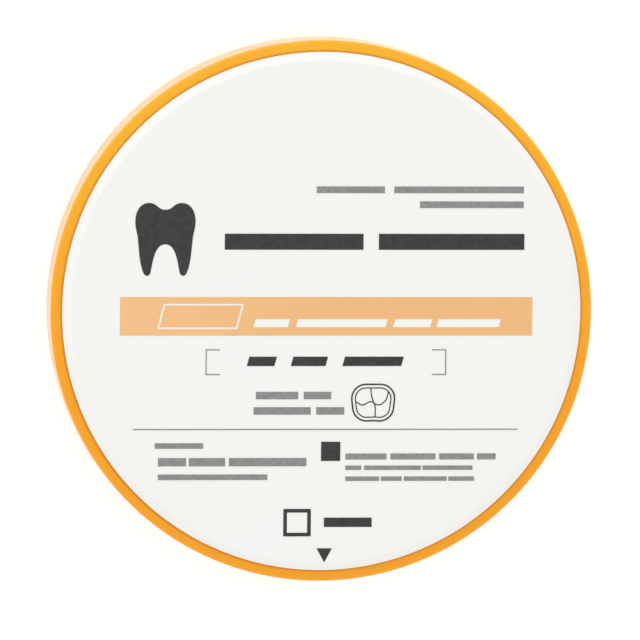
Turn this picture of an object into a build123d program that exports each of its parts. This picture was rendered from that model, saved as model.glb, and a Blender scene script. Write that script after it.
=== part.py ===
from build123d import *

import os
from collections import namedtuple

# A dental milling blank: a disc of pre-sintered zirconia bonded into a moulded plastic collar,
# with one face printed. It lies on its back face, centred on the origin. The printed face looks
# up +Z, and the top of the print is towards +Y. Lengths are millimetres.

# Collar: the ring that a milling machine's holder grips
COLLAR_DIAMETER = 98.5
COLLAR_HEIGHT = 10.0
COLLAR_WALL = 2.0
COLLAR_ROUND = 0.55
COLLAR_BORE_CHAMFER = 0.3

# Adhesive between the collar's bore and the blank's wall
BOND_GAP = 0.1

# Blank: it stands proud of the collar by the same step on both faces
BLANK_THICKNESS = 14.0
BLANK_BEVEL = 1.4

# Print: ink films on the front face. Places on it are measured right and up from the middle of
# the print, which lies PRINT_OFFSET right of the disc's axis.
PRINT_THICKNESS = 0.05
PRINT_OFFSET = 0.7
INK_LINE = 0.2

# Peach band across the face
BAND_WIDTH = 75.0
BAND_HEIGHT = 7.0
BAND_MIDDLE = -0.7
BAND_FRAME_LINE = 0.35

# Corner brackets round the row under the band
BRACKET_SPAN = 43.6
BRACKET_HEIGHT = 4.5
BRACKET_ARM = 2.5
BRACKET_MIDDLE = -9.05

# Long rule, and the arrowhead that marks the foot of the face
RULE_WIDTH = 70.0
RULE_LEVEL = -21.3
MARKER_WIDTH = 2.8
MARKER_HEIGHT = 2.55
MARKER_MARGIN = 0.2

# Chewing surface of a molar, drawn as outlines beside the two rows that name the sides
MOLAR_WIDTH = 8.7
MOLAR_HEIGHT = 7.1
MOLAR_CENTRE = (8.65, -16.5)
MOLAR_CORNER = 2.7
MOLAR_LINE = 0.28
MOLAR_RIM = 0.7

# Tooth seen from the side, the large solid figure left of the heading
TOOTH_HEIGHT = 13.4
TOOTH_CENTRE = (-29.4, 13.3)

# Open square and small solid block, each beside the row that it belongs to
SQUARE_SIDE = 5.0
SQUARE_CENTRE = (-5.0, -38.3)
SQUARE_LINE = 0.65
BLOCK_SIDE = 3.5
BLOCK_CENTRE = (1.0, -25.3)

# Rows of words, each word a plain bar, counted in steps of LAYOUT_PITCH. A row has its foot and
# height, how far a bar's top leans to the right, and each bar's left and right ends.
LAYOUT_PITCH = 0.1
Row = namedtuple("Row", "foot height lean bars")

HEADING_ROWS = [
    Row(114, 29, 0, [(-186, 66), (94, 359)]),
    Row(-97.5, 17, 4.5, [(-144, -94), (-64, -1), (30, 137)]),
    Row(-391, 17, 0, [(-1, 86)]),
]
SMALL_ROWS = [
    Row(217, 12, 0, [(-20, 104), (121, 357)]),
    Row(190, 12, 0, [(168, 357)]),
    Row(-158, 13.5, 0, [(-127, -50), (-40, 10)]),
    Row(-186, 13.5, 0, [(-131, -27), (-17, 34)]),
    Row(-248, 10, 0, [(-310, -222)]),
    Row(-280, 15, 0, [(-304, -253), (-248, -182), (-175, -34)]),
    Row(-305, 10, 0, [(-304, -105)]),
    Row(-268, 11, 0, [(37, 112), (119, 201), (208, 271), (277, 311)]),
    Row(-287, 8, 0, [(37, 66), (71, 175), (178, 269)]),
    Row(-307, 8, 0, [(37, 99), (102, 140), (144, 222), (225, 272)]),
]
BAND_WORDS = [Row(-27, 15, 4, [(-133, -70), (-56, 108), (121, 189), (200, 314)])]
BAND_FRAME = Row(-30.5, 46.5, 12, [(-308, -162)])

collar_r = COLLAR_DIAMETER / 2
bore_r = collar_r - COLLAR_WALL
blank_r = bore_r - BOND_GAP
face_r = blank_r - BLANK_BEVEL
collar_foot = (BLANK_THICKNESS - COLLAR_HEIGHT) / 2


def circles(shape):
    """The round edges of a turned shape, from the smallest radius to the largest."""
    return shape.edges().filter_by(GeomType.CIRCLE).group_by(SortBy.RADIUS)


def disc(radius, height, foot):
    return Pos(0, 0, foot) * Cylinder(radius, height, align=(Align.CENTER, Align.CENTER, Align.MIN))


def zirconia_blank():
    """A flat disc with the same bevel round both faces."""
    body = disc(blank_r, BLANK_THICKNESS, 0)
    return chamfer(circles(body)[-1], BLANK_BEVEL)


def collar_ring():
    """A ring halfway up the blank, with rounded outer edges and a small chamfer on its bore."""
    body = disc(collar_r, COLLAR_HEIGHT, collar_foot) - disc(bore_r, COLLAR_HEIGHT, collar_foot)
    body = chamfer(circles(body)[0], COLLAR_BORE_CHAMFER)
    return fillet(circles(body)[-1], COLLAR_ROUND)


def adhesive_film():
    """Fills the gap between the two walls, up to the foot of the chamfers on the bore."""
    foot = collar_foot + COLLAR_BORE_CHAMFER
    height = COLLAR_HEIGHT - 2 * COLLAR_BORE_CHAMFER
    return disc(bore_r, height, foot) - disc(blank_r, height, foot)


def bar(left, right, row):
    """One word's bar: a rectangle, or a parallelogram where the row leans."""
    top = row.foot + row.height
    corners = [(left, row.foot), (right, row.foot), (right + row.lean, top), (left + row.lean, top)]
    return scale(Polygon(corners, align=None), LAYOUT_PITCH)


def word_bars(rows):
    return Sketch() + [bar(left, right, row) for row in rows for left, right in row.bars]


def outline(shape, line):
    """The closed line that runs just inside a shape's edge."""
    return shape - offset(shape, -line, kind=Kind.INTERSECTION)


def peach_band():
    """The band, with its words and the frame before them left open to the blank."""
    band = Pos(0, BAND_MIDDLE) * Rectangle(BAND_WIDTH, BAND_HEIGHT)
    frame = outline(word_bars([BAND_FRAME]), BAND_FRAME_LINE)
    return band - word_bars(BAND_WORDS) - frame


def tooth():
    """A molar from the side: two cusps, a slight waist at the neck and two roots. Its halves mirror."""
    right_edge = [
        Bezier((0, 0.8), (0.2, 0.78), (0.22, 0.99), (0.46, 0.98)),
        Bezier((0.46, 0.98), (0.76, 0.96), (0.88, 0.6), (0.78, 0.22)),
        Bezier((0.78, 0.22), (0.7, -0.08), (0.74, -0.5), (0.6, -0.88)),
        Bezier((0.6, -0.88), (0.55, -1.03), (0.42, -1.03), (0.39, -0.88)),
        Bezier((0.39, -0.88), (0.32, -0.5), (0.26, -0.14), (0, -0.14)),
        Line((0, -0.14), (0, 0.8)),
    ]
    right = make_face(Curve() + right_edge)
    return Pos(*TOOTH_CENTRE) * scale(right + mirror(right, Plane.YZ), TOOTH_HEIGHT / 2)


def molar():
    """A molar from above: its outline, the rim of the chewing surface and the grooves in it."""
    across, up = MOLAR_WIDTH / 2, MOLAR_HEIGHT / 2
    foot = 0.82 * across
    corners = [(-across, up), (across, up), (foot, -up), (0, 0.3 * MOLAR_RIM - up), (-foot, -up)]
    crown = make_face(FilletPolyline(corners, radius=MOLAR_CORNER, close=True))
    rim = offset(crown, -MOLAR_RIM)
    left_pit = (-0.46 * across, -0.1 * up)
    middle_pit = (0.04 * across, 0)
    right_pit = (0.5 * across, 0.1 * up)
    grooves = [
        Bezier((-across, 0.2 * up), (-0.7 * across, 0.15 * up), (-0.6 * across, -0.1 * up), left_pit),
        Bezier(left_pit, (-0.3 * across, -0.1 * up), (-0.15 * across, 0.2 * up), middle_pit),
        Bezier(middle_pit, (0.2 * across, -0.18 * up), (0.35 * across, -0.1 * up), right_pit),
        Bezier(right_pit, (0.62 * across, 0.26 * up), (0.6 * across, 0.6 * up), (0.75 * across, up)),
        Bezier(middle_pit, (-0.08 * across, 0.3 * up), (-0.12 * across, 0.6 * up), (-0.08 * across, up)),
        Bezier(middle_pit, (0.16 * across, -0.3 * up), (0.02 * across, -0.6 * up), (0.14 * across, -up)),
    ]
    drawn = (Sketch() + [trace(groove, INK_LINE) for groove in grooves]) & rim
    return Pos(*MOLAR_CENTRE) * (outline(crown, MOLAR_LINE) + outline(rim, INK_LINE) + drawn)


def open_square():
    return Pos(*SQUARE_CENTRE) * outline(Rectangle(SQUARE_SIDE, SQUARE_SIDE), SQUARE_LINE)


def brackets():
    """Two corner brackets that face each other."""
    across, up = BRACKET_SPAN / 2, BRACKET_HEIGHT / 2
    left = Polyline((BRACKET_ARM - across, up), (-across, up), (-across, -up), (BRACKET_ARM - across, -up))
    line = trace(left, INK_LINE)
    return Pos(0, BRACKET_MIDDLE) * (line + mirror(line, Plane.YZ))


def marker():
    """An arrowhead whose point lies just inside the foot of the face."""
    foot = MARKER_MARGIN - face_r
    top = foot + MARKER_HEIGHT
    return Polygon((0, foot), (MARKER_WIDTH / 2, top), (-MARKER_WIDTH / 2, top), align=None)


def dark_ink():
    block = Pos(*BLOCK_CENTRE) * Rectangle(BLOCK_SIDE, BLOCK_SIDE)
    return word_bars(HEADING_ROWS) + tooth() + molar() + open_square() + block


def grey_ink():
    rule = Pos(0, RULE_LEVEL) * Rectangle(RULE_WIDTH, INK_LINE)
    return word_bars(SMALL_ROWS) + brackets() + rule


def printed(drawing):
    """Lays a flat drawing on the front face as a film of ink, as far as the flat face goes."""
    on_face = (Pos(PRINT_OFFSET, 0) * drawing) & Circle(face_r)
    return Pos(0, 0, BLANK_THICKNESS) * extrude(on_face, PRINT_THICKNESS, dir=(0, 0, 1))


def main():
    parts = {
        "zirconia_blank": zirconia_blank(),
        "collar_ring": collar_ring(),
        "adhesive_film": adhesive_film(),
        "peach_print": printed(peach_band()),
        "dark_print": printed(dark_ink() + marker()),
        "grey_print": printed(grey_ink()),
    }
    os.makedirs("parts", exist_ok=True)
    for name, part in parts.items():
        export_step(part, f"parts/{name}.step")


main()
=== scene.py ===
import math
import random

import bpy
from bpy.props import FloatProperty, FloatVectorProperty, IntProperty, PointerProperty
from mathutils import Matrix, Vector


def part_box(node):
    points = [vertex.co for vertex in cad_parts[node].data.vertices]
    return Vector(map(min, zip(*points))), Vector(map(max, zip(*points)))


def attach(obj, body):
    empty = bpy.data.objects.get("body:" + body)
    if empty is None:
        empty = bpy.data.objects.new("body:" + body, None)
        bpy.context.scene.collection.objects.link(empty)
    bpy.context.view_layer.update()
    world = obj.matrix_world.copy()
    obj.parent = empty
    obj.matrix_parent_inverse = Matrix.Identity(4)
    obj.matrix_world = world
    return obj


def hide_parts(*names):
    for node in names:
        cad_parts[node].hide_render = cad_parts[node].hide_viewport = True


bl_info = {
    "name": "Dental Milling Disc",
    "version": (1, 0, 0),
    "blender": (4, 5, 0),
    "location": "View3D > Sidebar > Milling Disc",
    "description": "Dresses a zirconia milling blank, its collar and its print, and sets up the studio",
    "category": "Object",
}

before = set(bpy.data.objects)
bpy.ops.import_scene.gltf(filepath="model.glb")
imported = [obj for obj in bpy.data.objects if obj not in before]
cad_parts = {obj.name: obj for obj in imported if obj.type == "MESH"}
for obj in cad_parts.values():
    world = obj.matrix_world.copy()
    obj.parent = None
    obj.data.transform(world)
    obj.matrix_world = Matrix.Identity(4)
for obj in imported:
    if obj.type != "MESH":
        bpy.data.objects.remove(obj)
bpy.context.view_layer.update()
MM = 0.001

# A point this close to the axis is a pole, in metres
ON_AXIS = 1e-9

# Rings of edges across the blank's faces, in shares of the face's radius
FACE_RINGS = (0.3, 0.6, 0.85)

# Points across the adhesive's surface, from the blank's wall to the bore. The waves that make it
# wander are given as numbers of waves round the disc, with the range of their sizes.
BOND_STEPS = (0.0, 0.2, 0.5, 0.8, 1.0)
BOND_WAVES = (3, 7, 11, 19, 31)
BOND_WAVE_SIZES = (0.3, 1.0)
BOND_SEED = 7

# How far up the print the collar's orange starts and stops changing from painted shade at its foot to a
# painted highlight at its head, in shares of its radius
COLLAR_PAINTED_LIGHT_RUN = (-0.3, 0.8)

# Noise keeps mostly to the middle of its range, which is stretched to make clear patches
PATCH_RANGE = (0.35, 0.65)
DRIFT_RANGE = (0.3, 0.7)

# A Mix node repeats its sockets' names, so those for colours go by number
MIX_FACTOR, MIX_FIRST, MIX_SECOND, MIX_RESULT = 0, 6, 7, 2


def radius_of(node):
    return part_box(node)[1].x


def paint(red, green, blue):
    """A colour written as 0 to 255 on screen, as the linear colour that Blender mixes."""
    return tuple(
        c / 12.92 if c <= 0.04045 else ((c + 0.055) / 1.055) ** 2.4
        for c in (red / 255, green / 255, blue / 255)
    )


def length(name, description, default):
    return FloatProperty(
        name=name, description=description, default=default, min=0.0, precision=5,
        subtype="DISTANCE", unit="LENGTH",
    )


def colour(name, description, default):
    return FloatVectorProperty(
        name=name, description=description, default=default, size=3, min=0.0, max=1.0, subtype="COLOR",
    )


def share(name, description, default):
    return FloatProperty(
        name=name, description=description, default=default, min=0.0, max=1.0, subtype="FACTOR",
    )


def roughness(name, surface, default):
    """The two ends of a roughness that varies over a surface."""
    return FloatVectorProperty(
        name=name, description=f"Least and most roughness of {surface}",
        default=default, size=2, min=0.0, max=1.0,
    )


class DiscSizes(bpy.types.PropertyGroup):
    """Edges of the turned and moulded pieces. The main sizes come from the CAD model."""

    blank_bevel: length("Blank Bevel", "Width of the bevel round both faces of the blank", 1.4 * MM)
    blank_edge: length("Blank Edge", "Rounding of the blank's bevel edges", 0.09 * MM)
    collar_round: length("Collar Round", "Rounding of the collar's outer edges", 0.55 * MM)
    bore_chamfer: length("Bore Chamfer", "Chamfer at both ends of the collar's bore", 0.3 * MM)
    chamfer_edge: length("Chamfer Edge", "Rounding of the edges of that chamfer", 0.08 * MM)
    bond_sag: length("Bond Sag", "How far the adhesive's surface dips between the two walls", 0.03 * MM)
    bond_wander: length("Bond Wander", "How far that surface rises and falls round the disc", 0.06 * MM)
    around: IntProperty(name="Facets Around", description="Facets in each full turn", default=320, min=48)
    arc_steps: IntProperty(
        name="Arc Steps", description="Facets across each rounded edge", default=6, min=2,
    )


class DiscFinishes(bpy.types.PropertyGroup):
    """Colours and surface of each finish."""

    zirconia: colour("Zirconia", "Chalky white of the blank's printed side", paint(245, 245, 243))
    zirconia_warm: colour("Zirconia Warm", "Tone that the white drifts to in patches", paint(244, 244, 240))
    zirconia_back: colour("Zirconia Back", "Warmer white towards the back face", paint(240, 237, 226))
    zirconia_patch: length("Zirconia Patch", "Size of the patches of that drift", 24 * MM)
    zirconia_rough: roughness("Zirconia Roughness", "the pressed and turned blank", (0.65, 0.78))
    zirconia_grain: length("Zirconia Grain", "Size of the blank's pressed grain", 0.16 * MM)
    zirconia_pitch: length("Zirconia Pitch", "Spacing of the fine rings left by turning", 0.35 * MM)
    zirconia_rings: share("Zirconia Rings", "Height of those rings beside the grain's", 0.6)
    zirconia_relief: length("Zirconia Relief", "Depth of the grain and the rings", 0.012 * MM)
    # Painted light: the head colour is a yellower painted highlight where the lamp falls, and the foot
    # colour is the plastic's orange deepened as painted shade
    collar_lit_head: colour("Collar Head", "Yellow orange of the collar above the print", paint(252, 182, 29))
    collar_shaded_foot: colour("Collar Foot", "Deeper orange of the collar below the print", paint(250, 164, 19))
    collar_flow: share("Collar Flow", "How far its flow patches drift towards the deeper orange", 0.25)
    collar_patch: length("Collar Patch", "Size of the flow patches", 18 * MM)
    collar_rough: roughness("Collar Roughness", "the collar's moulded skin", (0.17, 0.29))
    collar_grain: length("Collar Grain", "Size of the grain on that skin", 0.22 * MM)
    collar_pitch: length("Collar Pitch", "Spacing of the faint rings copied from the mould", 0.7 * MM)
    collar_rings: share("Collar Rings", "Height of those rings beside the grain's", 0.15)
    collar_relief: length("Collar Relief", "Depth of the grain and the rings", 0.003 * MM)
    bond: colour("Adhesive", "Cured adhesive in the joint", paint(238, 184, 112))
    bond_deep: colour("Adhesive Deep", "Darker patches of the adhesive", paint(226, 168, 96))
    bond_patch: length("Adhesive Patch", "Size of those patches", 6 * MM)
    bond_rough: roughness("Adhesive Roughness", "the cured surface", (0.3, 0.5))
    bond_grain: length("Adhesive Grain", "Size of the adhesive's fine grain", 0.11 * MM)
    bond_relief: length("Adhesive Relief", "Depth of that grain", 0.006 * MM)
    peach: colour("Peach Ink", "Ink of the band at its middle", paint(239, 186, 128))
    peach_light: colour("Peach Ink Light", "Ink of the band at its left end", paint(243, 192, 134))
    dark: colour("Dark Ink", "Ink of the headings and figures", paint(48, 47, 45))
    dark_thin: colour("Dark Ink Thin", "The same ink where it lies thinner", paint(62, 60, 58))
    grey: colour("Grey Ink", "Ink of the small rows, the brackets and the rule", paint(132, 131, 129))
    grey_thin: colour("Grey Ink Thin", "The same ink where it lies thinner", paint(150, 149, 147))
    ink_patch: length("Ink Patch", "Size of the patches where ink lies thinner", 0.72 * MM)
    ink_rough: roughness("Ink Roughness", "the matte inks", (0.5, 0.64))
    ink_grain: length("Ink Grain", "Size of the fine grain in the inks", 0.3 * MM)
    ink_relief: length("Ink Relief", "Depth of that grain", 0.003 * MM)


class DiscStudio(bpy.types.PropertyGroup):
    """Camera, lamps and floor."""

    view_tilt: FloatProperty(
        name="View Tilt", description="Angle between the camera's line of sight and the disc's axis",
        default=math.radians(8.0), subtype="ANGLE",
    )
    view_turn: FloatProperty(
        name="View Turn", description="Side that the camera leans to, anticlockwise from the print's right",
        default=math.radians(135.0), subtype="ANGLE",
    )
    view_distance: length("View Distance", "From the camera to the disc", 2.0)
    aim_right: FloatProperty(
        name="Aim Right", description="Picture's middle, right of the disc's middle",
        default=0.2 * MM, subtype="DISTANCE", unit="LENGTH",
    )
    aim_up: FloatProperty(
        name="Aim Up", description="Picture's middle, above the disc's middle",
        default=-2.06 * MM, subtype="DISTANCE", unit="LENGTH",
    )
    lens: FloatProperty(
        name="Lens", description="Focal length in millimetres",
        default=619.3, min=20.0, subtype="DISTANCE_CAMERA",
    )
    key_power: FloatProperty(
        name="Key Power", description="Power of the soft lamp above the top of the print, in watts",
        default=1.9, min=0.0, unit="POWER",
    )
    key_height: FloatProperty(
        name="Key Height", description="Angle of that lamp above the floor",
        default=math.radians(30.0), subtype="ANGLE",
    )
    key_turn: FloatProperty(
        name="Key Turn", description="Side that the lamp stands on, anticlockwise from the print's right",
        default=math.radians(108.0), subtype="ANGLE",
    )
    key_distance: length("Key Distance", "From that lamp to the disc", 1.25)
    key_side: length("Key Side", "Side of the square lamp", 0.7)
    tent_top: FloatProperty(
        name="Tent Top", description="White light from straight above", default=0.7, min=0.0,
    )
    tent_foot: FloatProperty(
        name="Tent Foot", description="White light from the level of the floor", default=1.43, min=0.0,
    )
    floor_tone: share("Floor Tone", "Grey of the floor", 0.8)
    floor_lift: share("Floor Lift", "Glow that lifts the seen floor to white and keeps the shadow", 0.45)
    floor_side: length("Floor Side", "Side of the square floor", 12.0)
    floor_gap: length("Floor Gap", "Gap between the floor and the disc's back", 0.02 * MM)


# Turned meshes


def unit(step):
    size = math.hypot(*step)
    return step[0] / size, step[1] / size


def rounded_profile(corners, steps):
    """A profile of (radius, height) points. Each corner is (radius, height, rounding).

    A rounded corner becomes an arc, with a point close beside each end of the arc, so that smooth
    shading stays flat on the long faces. The first and last corners stay as they are.
    """
    points = [corners[0][:2]]
    for before, corner, after in zip(corners, corners[1:], corners[2:]):
        here, rounding = corner[:2], corner[2]
        into = unit((here[0] - before[0], here[1] - before[1]))
        out = unit((after[0] - here[0], after[1] - here[1]))
        turn = math.atan2(into[0] * out[1] - into[1] * out[0], into[0] * out[0] + into[1] * out[1])
        reach = rounding * math.tan(abs(turn) / 2)
        side = math.copysign(1.0, turn)
        guard = rounding / 4
        start = (here[0] - into[0] * reach, here[1] - into[1] * reach)
        centre = (start[0] - side * into[1] * rounding, start[1] + side * into[0] * rounding)
        arm = (start[0] - centre[0], start[1] - centre[1])
        points.append((start[0] - into[0] * guard, start[1] - into[1] * guard))
        for step in range(steps + 1):
            swung = turn * step / steps
            points.append((
                centre[0] + arm[0] * math.cos(swung) - arm[1] * math.sin(swung),
                centre[1] + arm[0] * math.sin(swung) + arm[1] * math.cos(swung),
            ))
        points.append((points[-1][0] + out[0] * guard, points[-1][1] + out[1] * guard))
    points.append(corners[-1][:2])
    return points


def turned_mesh(name, profile, around, closed, lift=None):
    """Turns a profile round the Z axis. A point on the axis becomes one pole.

    lift(index, angle) may raise a profile point a little at each angle.
    """
    points, rings = [], []
    for index, (radius, height) in enumerate(profile):
        if radius < ON_AXIS:
            rings.append([len(points)])
            points.append((0.0, 0.0, height))
            continue
        rings.append(list(range(len(points), len(points) + around)))
        for place in range(around):
            angle = 2 * math.pi * place / around
            rise = lift(index, angle) if lift else 0.0
            points.append((radius * math.cos(angle), radius * math.sin(angle), height + rise))
    pairs = list(zip(rings, rings[1:]))
    if closed:
        pairs.append((rings[-1], rings[0]))
    faces = []
    for lower, upper in pairs:
        for place in range(around):
            beside = (place + 1) % around
            if len(lower) == 1:
                faces.append((lower[0], upper[beside], upper[place]))
            elif len(upper) == 1:
                faces.append((lower[place], lower[beside], upper[0]))
            else:
                faces.append((lower[place], lower[beside], upper[beside], upper[place]))
    mesh = bpy.data.meshes.new(name)
    mesh.from_pydata(points, [], faces)
    mesh.validate()
    mesh.shade_smooth()
    return mesh


def place_piece(name, mesh, material, node):
    """Puts a turned piece in the place of its CAD node."""
    piece = bpy.data.objects.new(name, mesh)
    bpy.context.scene.collection.objects.link(piece)
    mesh.materials.append(material)
    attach(piece, "root")
    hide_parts(node)
    return piece


# Shader nodes


def add_node(tree, kind, sockets=None, **settings):
    """Adds a node. A socket's value is another node's output or a plain value."""
    node = tree.nodes.new(kind)
    for name, value in settings.items():
        setattr(node, name, value)
    for name, value in (sockets or {}).items():
        if isinstance(value, bpy.types.NodeSocket):
            tree.links.new(value, node.inputs[name])
        else:
            node.inputs[name].default_value = value
    return node


def maths(tree, operation, *values):
    """Works out one sum of other nodes' outputs or plain values."""
    return add_node(tree, "ShaderNodeMath", dict(enumerate(values)), operation=operation).outputs["Value"]


def noise(tree, sockets, **settings):
    """A noise that is 0.5 on average."""
    return add_node(tree, "ShaderNodeTexNoise", sockets, **settings).outputs[0]


def axis(tree, place, letter):
    """The distance along one axis."""
    return add_node(tree, "ShaderNodeSeparateXYZ", {"Vector": place}).outputs[letter]


def stretched(tree, value, start, end):
    """Stretches a value that runs from start to end, so that it runs from 0 to 1."""
    return add_node(tree, "ShaderNodeMapRange", {
        "Value": value, "From Min": start, "From Max": end,
    }).outputs["Result"]


def spread(tree, value, low, high):
    """Spreads a value that runs from 0 to 1 over a range."""
    return add_node(tree, "ShaderNodeMapRange", {
        "Value": value, "To Min": low, "To Max": high,
    }).outputs["Result"]


def blended(tree, value, start, end, first, second):
    """Blends one colour into another as a value goes from start to end."""
    return add_node(tree, "ShaderNodeMix", {
        MIX_FACTOR: stretched(tree, value, start, end), MIX_FIRST: first, MIX_SECOND: second,
    }, data_type="RGBA").outputs[MIX_RESULT]


def seen_or_mirrored(tree):
    """1 for rays that show the surface itself: from the camera, in a gloss or through glass."""
    path = add_node(tree, "ShaderNodeLightPath").outputs
    seen = maths(tree, "MAXIMUM", path["Is Camera Ray"], path["Is Glossy Ray"])
    return maths(tree, "MAXIMUM", seen, path["Is Transmission Ray"])


def opaque(rgb):
    return (*rgb, 1.0)


def start_group(name, inputs, outputs):
    """A node group with its sockets made, and its two end nodes."""
    group = bpy.data.node_groups.new(name, "ShaderNodeTree")
    for label, kind in inputs:
        group.interface.new_socket(label, in_out="INPUT", socket_type=kind)
    for label, kind in outputs:
        group.interface.new_socket(label, in_out="OUTPUT", socket_type=kind)
    return group, group.nodes.new("NodeGroupInput").outputs, group.nodes.new("NodeGroupOutput").inputs


def surface_grain():
    """Fine grain of a pressed, moulded or printed surface: its height, and a mask of its patches."""
    name = "Surface Grain"
    if name in bpy.data.node_groups:
        return bpy.data.node_groups[name]
    group, given, wanted = start_group(
        name,
        [("Place", "NodeSocketVector"), ("Size", "NodeSocketFloat")],
        [("Height", "NodeSocketFloat"), ("Patches", "NodeSocketFloat")],
    )
    grains = maths(group, "DIVIDE", 1.0, given["Size"])
    patches_per_grain = 0.06
    fine = noise(group, {"Vector": given["Place"], "Scale": grains, "Detail": 2.0, "Roughness": 0.6})
    wide_grains = maths(group, "MULTIPLY", grains, patches_per_grain)
    wide = noise(group, {"Vector": given["Place"], "Scale": wide_grains, "Detail": 3.0})
    group.links.new(fine, wanted["Height"])
    group.links.new(stretched(group, wide, *PATCH_RANGE), wanted["Patches"])
    return group


def tone_drift():
    """A colour that drifts towards a second one in soft patches."""
    name = "Tone Drift"
    if name in bpy.data.node_groups:
        return bpy.data.node_groups[name]
    group, given, wanted = start_group(
        name,
        [
            ("Place", "NodeSocketVector"), ("Colour", "NodeSocketColor"),
            ("Second Colour", "NodeSocketColor"), ("Patch Size", "NodeSocketFloat"),
        ],
        [("Colour", "NodeSocketColor")],
    )
    patches = maths(group, "DIVIDE", 1.0, given["Patch Size"])
    drift = noise(group, {"Vector": given["Place"], "Scale": patches, "Detail": 2.0})
    drifted = blended(group, drift, *DRIFT_RANGE, given["Colour"], given["Second Colour"])
    group.links.new(drifted, wanted["Colour"])
    return group


def turning_rings():
    """Height of the faint rings that turning leaves: across the faces, and wider spaced up the walls."""
    name = "Turning Rings"
    if name in bpy.data.node_groups:
        return bpy.data.node_groups[name]
    group, given, wanted = start_group(
        name,
        [("Place", "NodeSocketVector"), ("Pitch", "NodeSocketFloat")],
        [("Height", "NodeSocketFloat")],
    )
    x, y, z = add_node(group, "ShaderNodeSeparateXYZ", {"Vector": given["Place"]}).outputs
    squares = maths(group, "ADD", maths(group, "MULTIPLY", x, x), maths(group, "MULTIPLY", y, y))
    rings_up_the_wall = 0.37
    climb = maths(group, "MULTIPLY", z, rings_up_the_wall)
    travel = maths(group, "ADD", maths(group, "SQRT", squares), climb)
    rings = noise(group, {
        "W": maths(group, "DIVIDE", travel, given["Pitch"]), "Scale": 1.0, "Detail": 2.0, "Roughness": 0.55,
    }, noise_dimensions="1D")
    group.links.new(rings, wanted["Height"])
    return group


def start_finish(name, sockets):
    """A material with its shader, whose constant values are set on the shader's own sockets."""
    material = bpy.data.materials.new(name)
    material.use_nodes = True
    tree = material.node_tree
    tree.nodes.clear()
    shader = add_node(tree, "ShaderNodeBsdfPrincipled", sockets)
    add_node(tree, "ShaderNodeOutputMaterial", {"Surface": shader.outputs["BSDF"]})
    place = add_node(tree, "ShaderNodeTexCoord").outputs["Object"]
    return material, tree, shader.inputs, place


def grouped(tree, group, sockets):
    """Places a shared group and feeds its inputs."""
    return add_node(tree, "ShaderNodeGroup", sockets, node_tree=group).outputs


def drifting(tree, place, first, second, patch):
    return grouped(tree, tone_drift(), {
        "Place": place, "Colour": opaque(first), "Second Colour": opaque(second), "Patch Size": patch,
    })["Colour"]


def relief(tree, height, depth):
    return add_node(
        tree, "ShaderNodeBump", {"Height": height, "Distance": depth, "Strength": 1.0}
    ).outputs["Normal"]


def ringed(tree, place, grain, pitch, rings_share):
    """The height of a grain with turning rings on it."""
    rings = grouped(tree, turning_rings(), {"Place": place, "Pitch": pitch})
    return maths(tree, "ADD", grain["Height"], maths(tree, "MULTIPLY", rings["Height"], rings_share))


def zirconia_finish(look):
    """Pressed and turned zirconia, white in front and warmer towards its back."""
    material, tree, shader, place = start_finish("Chalky Zirconia", {
        "Specular IOR Level": 0.15, "IOR": 1.5,
    })
    grain = grouped(tree, surface_grain(), {"Place": place, "Size": look.zirconia_grain})
    front = drifting(tree, place, look.zirconia, look.zirconia_warm, look.zirconia_patch)
    low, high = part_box("zirconia_blank")
    up = axis(tree, place, "Z")
    layered = blended(tree, up, high.z, low.z, front, opaque(look.zirconia_back))
    height = ringed(tree, place, grain, look.zirconia_pitch, look.zirconia_rings)
    tree.links.new(layered, shader["Base Color"])
    tree.links.new(spread(tree, grain["Patches"], *look.zirconia_rough), shader["Roughness"])
    tree.links.new(relief(tree, height, look.zirconia_relief), shader["Normal"])
    return material


def collar_finish(look):
    """Moulded plastic in its own orange with painted light on it: deepened as painted shade at its foot,
    running to a yellower painted highlight at its head.
    """
    material, tree, shader, place = start_finish("Collar Plastic", {
        "Specular IOR Level": 0.2, "IOR": 1.5, "Coat Weight": 0.35, "Coat Roughness": 0.12,
    })
    grain = grouped(tree, surface_grain(), {"Place": place, "Size": look.collar_grain})
    lit_head, shaded_foot = Vector(look.collar_lit_head), Vector(look.collar_shaded_foot)
    patchy_lit_head = drifting(tree, place, lit_head, lit_head.lerp(shaded_foot, look.collar_flow), look.collar_patch)
    # Painted light: the orange runs from painted shade below the print to a painted highlight above it
    start, end = (part * radius_of("collar_ring") for part in COLLAR_PAINTED_LIGHT_RUN)
    along = axis(tree, place, "Y")
    painted_light_run = blended(tree, along, start, end, opaque(shaded_foot), patchy_lit_head)
    height = ringed(tree, place, grain, look.collar_pitch, look.collar_rings)
    tree.links.new(painted_light_run, shader["Base Color"])
    tree.links.new(spread(tree, grain["Patches"], *look.collar_rough), shader["Roughness"])
    tree.links.new(relief(tree, height, look.collar_relief), shader["Normal"])
    return material


def bond_finish(look):
    """Cured adhesive, patchy and slightly glossy."""
    material, tree, shader, place = start_finish("Cured Adhesive", {"Specular IOR Level": 0.5, "IOR": 1.5})
    grain = grouped(tree, surface_grain(), {"Place": place, "Size": look.bond_grain})
    patchy = drifting(tree, place, look.bond, look.bond_deep, look.bond_patch)
    tree.links.new(patchy, shader["Base Color"])
    tree.links.new(spread(tree, grain["Patches"], *look.bond_rough), shader["Roughness"])
    tree.links.new(relief(tree, grain["Height"], look.bond_relief), shader["Normal"])
    return material


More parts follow.
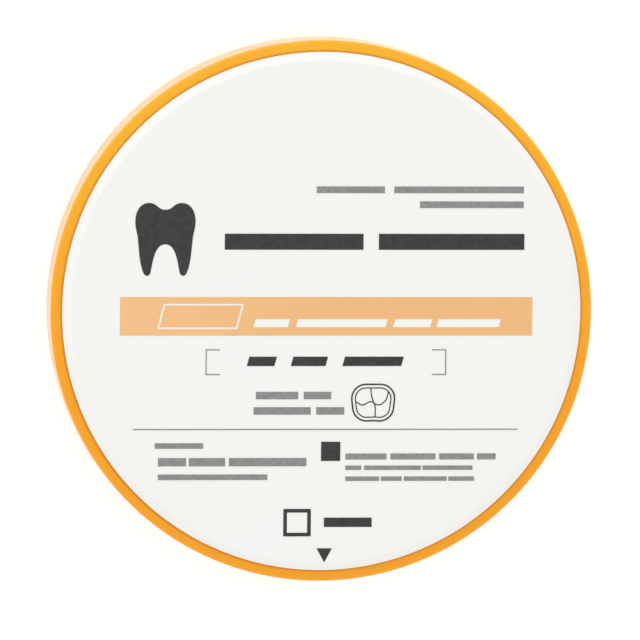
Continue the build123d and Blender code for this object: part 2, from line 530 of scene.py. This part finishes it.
def ink_finish(name, look, tint):
    """A matte film of ink. tint(tree, place) gives its colour."""
    material, tree, shader, place = start_finish(name, {"Specular IOR Level": 0.3, "IOR": 1.5})
    grain = grouped(tree, surface_grain(), {"Place": place, "Size": look.ink_grain})
    tree.links.new(tint(tree, place), shader["Base Color"])
    tree.links.new(spread(tree, grain["Patches"], *look.ink_rough), shader["Roughness"])
    tree.links.new(relief(tree, grain["Height"], look.ink_relief), shader["Normal"])
    return material


def band_finish(look):
    """The peach ink, which runs from a lighter left end to its full tone in the middle."""
    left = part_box("peach_print")[0].x

    def tint(tree, place):
        across = axis(tree, place, "X")
        return blended(tree, across, 0.0, left, opaque(look.peach), opaque(look.peach_light))

    return ink_finish("Peach Ink", look, tint)


def mottled_finish(name, look, full, thin):
    """An ink that lies a little thinner in places."""
    return ink_finish(name, look, lambda tree, place: drifting(tree, place, full, thin, look.ink_patch))


# Operators


class MILLINGDISC_OT_blank(bpy.types.Operator):
    """Turn the zirconia blank, with the same bevel round both faces"""

    bl_idname = "milling_disc.blank"
    bl_label = "Zirconia Blank"
    bl_options = {"REGISTER", "UNDO"}

    def execute(self, context):
        sizes, look = context.scene.disc_sizes, context.scene.disc_finishes
        low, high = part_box("zirconia_blank")
        wall, bevel, edge = high.x, sizes.blank_bevel, sizes.blank_edge
        face = wall - bevel
        rings = [part * face for part in FACE_RINGS]
        rim = rounded_profile([
            (rings[-1], low.z, 0.0),
            (face, low.z, edge),
            (wall, low.z + bevel, edge),
            (wall, high.z - bevel, edge),
            (face, high.z, edge),
            (rings[-1], high.z, 0.0),
        ], sizes.arc_steps)
        inner = [0.0] + rings[:-1]
        back = [(radius, low.z) for radius in inner]
        front = [(radius, high.z) for radius in reversed(inner)]
        mesh = turned_mesh("blank_turned", back + rim + front, sizes.around, closed=False)
        place_piece("blank_turned", mesh, zirconia_finish(look), "zirconia_blank")
        return {"FINISHED"}


class MILLINGDISC_OT_collar(bpy.types.Operator):
    """Mould the collar ring, with rounded outer edges and a chamfered bore"""

    bl_idname = "milling_disc.collar"
    bl_label = "Collar Ring"
    bl_options = {"REGISTER", "UNDO"}

    def execute(self, context):
        sizes, look = context.scene.disc_sizes, context.scene.disc_finishes
        low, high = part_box("collar_ring")
        wall, bore = high.x, radius_of("adhesive_film")
        middle = (low.z + high.z) / 2
        chamfer, edge, round_ = sizes.bore_chamfer, sizes.chamfer_edge, sizes.collar_round
        profile = rounded_profile([
            (bore, middle, 0.0),
            (bore, low.z + chamfer, edge),
            (bore + chamfer, low.z, edge),
            (wall, low.z, round_),
            (wall, high.z, round_),
            (bore + chamfer, high.z, edge),
            (bore, high.z - chamfer, edge),
            (bore, middle, 0.0),
        ], sizes.arc_steps)[:-1]
        mesh = turned_mesh("collar_moulded", profile, sizes.around, closed=True)
        place_piece("collar_moulded", mesh, collar_finish(look), "collar_ring")
        return {"FINISHED"}


class MILLINGDISC_OT_bond(bpy.types.Operator):
    """Fill the joint between the blank and the collar with adhesive"""

    bl_idname = "milling_disc.bond"
    bl_label = "Adhesive Film"
    bl_options = {"REGISTER", "UNDO"}

    def execute(self, context):
        sizes, look = context.scene.disc_sizes, context.scene.disc_finishes
        low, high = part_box("adhesive_film")
        outer, inner = high.x, radius_of("zirconia_blank")
        sag, wander = sizes.bond_sag, sizes.bond_wander
        draw = random.Random(BOND_SEED)
        waves = [
            (turns, draw.uniform(0, 2 * math.pi), draw.uniform(*BOND_WAVE_SIZES)) for turns in BOND_WAVES
        ]
        total = sum(size for _, _, size in waves)
        across = [inner + (outer - inner) * step for step in BOND_STEPS]
        dips = [sag * (1 - (2 * step - 1) ** 2) for step in BOND_STEPS]
        front = [(radius, high.z - dip) for radius, dip in zip(across, dips)]
        back = [(radius, low.z + dip) for radius, dip in zip(across, dips)]
        profile = back + front[::-1]

        def lift(index, angle):
            wave = sum(size * (1 + math.sin(turns * angle + start)) / 2 for turns, start, size in waves)
            inward = 1 if index < len(back) else -1
            return inward * wander * wave / total

        mesh = turned_mesh("bond_film", profile, sizes.around, closed=True, lift=lift)
        place_piece("bond_film", mesh, bond_finish(look), "adhesive_film")
        return {"FINISHED"}


class MILLINGDISC_OT_prints(bpy.types.Operator):
    """Give the printed band, headings and small rows their inks"""

    bl_idname = "milling_disc.prints"
    bl_label = "Printed Inks"
    bl_options = {"REGISTER", "UNDO"}

    def execute(self, context):
        look = context.scene.disc_finishes
        inks = {
            "peach_print": band_finish(look),
            "dark_print": mottled_finish("Dark Ink", look, look.dark, look.dark_thin),
            "grey_print": mottled_finish("Grey Ink", look, look.grey, look.grey_thin),
        }
        for node, ink in inks.items():
            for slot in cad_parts[node].material_slots:
                slot.material = ink
        return {"FINISHED"}


class MILLINGDISC_OT_studio(bpy.types.Operator):
    """Set the pale floor, the even white surroundings, the soft lamp and the camera"""

    bl_idname = "milling_disc.studio"
    bl_label = "Studio"
    bl_options = {"REGISTER", "UNDO"}

    def execute(self, context):
        studio = context.scene.disc_studio
        low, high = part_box("zirconia_blank")
        middle = Vector((0.0, 0.0, (low.z + high.z) / 2))
        self.lay_floor(context, studio, low.z - studio.floor_gap)
        self.light_tent(context, studio)
        self.hang_key(context, studio, middle)
        self.set_camera(context, studio, middle)
        context.scene.view_settings.view_transform = "Standard"
        return {"FINISHED"}

    def lay_floor(self, context, studio, level):
        half = studio.floor_side / 2
        mesh = bpy.data.meshes.new("floor")
        corners = [(-half, -half, level), (half, -half, level), (half, half, level), (-half, half, level)]
        mesh.from_pydata(corners, [], [(0, 1, 2, 3)])
        floor = bpy.data.objects.new("floor", mesh)
        context.scene.collection.objects.link(floor)
        material, tree, shader, _ = start_finish("Pale Floor", {
            "Base Color": opaque([studio.floor_tone] * 3), "Roughness": 0.9, "Specular IOR Level": 0.1,
            "Emission Color": (1.0, 1.0, 1.0, 1.0),
        })
        lift = maths(tree, "MULTIPLY", seen_or_mirrored(tree), studio.floor_lift)
        tree.links.new(lift, shader["Emission Strength"])
        mesh.materials.append(material)

    def light_tent(self, context, studio):
        world = bpy.data.worlds.new("white_tent")
        context.scene.world = world
        world.use_nodes = True
        tree = world.node_tree
        tree.nodes.clear()
        white = (1.0, 1.0, 1.0, 1.0)
        direction = add_node(tree, "ShaderNodeTexCoord").outputs["Generated"]
        strength = spread(tree, axis(tree, direction, "Z"), studio.tent_foot, studio.tent_top)
        light = add_node(tree, "ShaderNodeBackground", {"Color": white, "Strength": strength})
        shown = add_node(tree, "ShaderNodeBackground", {"Color": white, "Strength": 1.0})
        mix = add_node(tree, "ShaderNodeMixShader", {
            0: seen_or_mirrored(tree), 1: light.outputs["Background"], 2: shown.outputs["Background"],
        })
        add_node(tree, "ShaderNodeOutputWorld", {"Surface": mix.outputs["Shader"]})

    def hang_key(self, context, studio, middle):
        lamp = bpy.data.lights.new("key_lamp", "AREA")
        lamp.energy = studio.key_power
        lamp.size = studio.key_side
        towards = Vector((
            math.cos(studio.key_height) * math.cos(studio.key_turn),
            math.cos(studio.key_height) * math.sin(studio.key_turn),
            math.sin(studio.key_height),
        ))
        key = bpy.data.objects.new("key_lamp", lamp)
        key.location = middle + studio.key_distance * towards
        key.rotation_euler = towards.to_track_quat("Z", "Y").to_euler()
        context.scene.collection.objects.link(key)

    def set_camera(self, context, studio, middle):
        camera = bpy.data.cameras.new("camera")
        camera.lens = studio.lens
        camera.clip_start = 0.05
        camera.clip_end = 50.0
        tilt, turn = studio.view_tilt, studio.view_turn
        back = Vector((math.sin(tilt) * math.cos(turn), math.sin(tilt) * math.sin(turn), math.cos(tilt)))
        across = Vector((1.0, 0.0, 0.0))
        right = (across - across.dot(back) * back).normalized()
        up = back.cross(right)
        aim = middle + studio.aim_right * right + studio.aim_up * up
        holder = bpy.data.objects.new("camera", camera)
        turned = Matrix((right, up, back)).transposed().to_4x4()
        holder.matrix_world = Matrix.Translation(aim + studio.view_distance * back) @ turned
        context.scene.collection.objects.link(holder)
        context.scene.camera = holder


class VIEW3D_PT_milling_disc(bpy.types.Panel):
    """Lists the disc's pieces and settings in the sidebar"""

    bl_label = "Milling Disc"
    bl_category = "Milling Disc"
    bl_space_type = "VIEW_3D"
    bl_region_type = "UI"

    def draw(self, context):
        layout = self.layout
        layout.use_property_split = True
        for settings in (context.scene.disc_sizes, context.scene.disc_finishes, context.scene.disc_studio):
            box = layout.box()
            for name in settings.bl_rna.properties.keys():
                if name not in ("rna_type", "name"):
                    box.prop(settings, name)
        for operator in PIECE_OPERATORS:
            layout.operator(operator.bl_idname)


PIECE_OPERATORS = (
    MILLINGDISC_OT_blank,
    MILLINGDISC_OT_collar,
    MILLINGDISC_OT_bond,
    MILLINGDISC_OT_prints,
    MILLINGDISC_OT_studio,
)
CLASSES = (DiscSizes, DiscFinishes, DiscStudio, *PIECE_OPERATORS, VIEW3D_PT_milling_disc)


def register():
    for cls in CLASSES:
        bpy.utils.register_class(cls)
    bpy.types.Scene.disc_sizes = PointerProperty(type=DiscSizes)
    bpy.types.Scene.disc_finishes = PointerProperty(type=DiscFinishes)
    bpy.types.Scene.disc_studio = PointerProperty(type=DiscStudio)


def unregister():
    del bpy.types.Scene.disc_studio
    del bpy.types.Scene.disc_finishes
    del bpy.types.Scene.disc_sizes
    for cls in reversed(CLASSES):
        bpy.utils.unregister_class(cls)


def main():
    register()
    bpy.ops.milling_disc.blank()
    bpy.ops.milling_disc.collar()
    bpy.ops.milling_disc.bond()
    bpy.ops.milling_disc.prints()
    bpy.ops.milling_disc.studio()


if __name__ == "__main__":
    main()
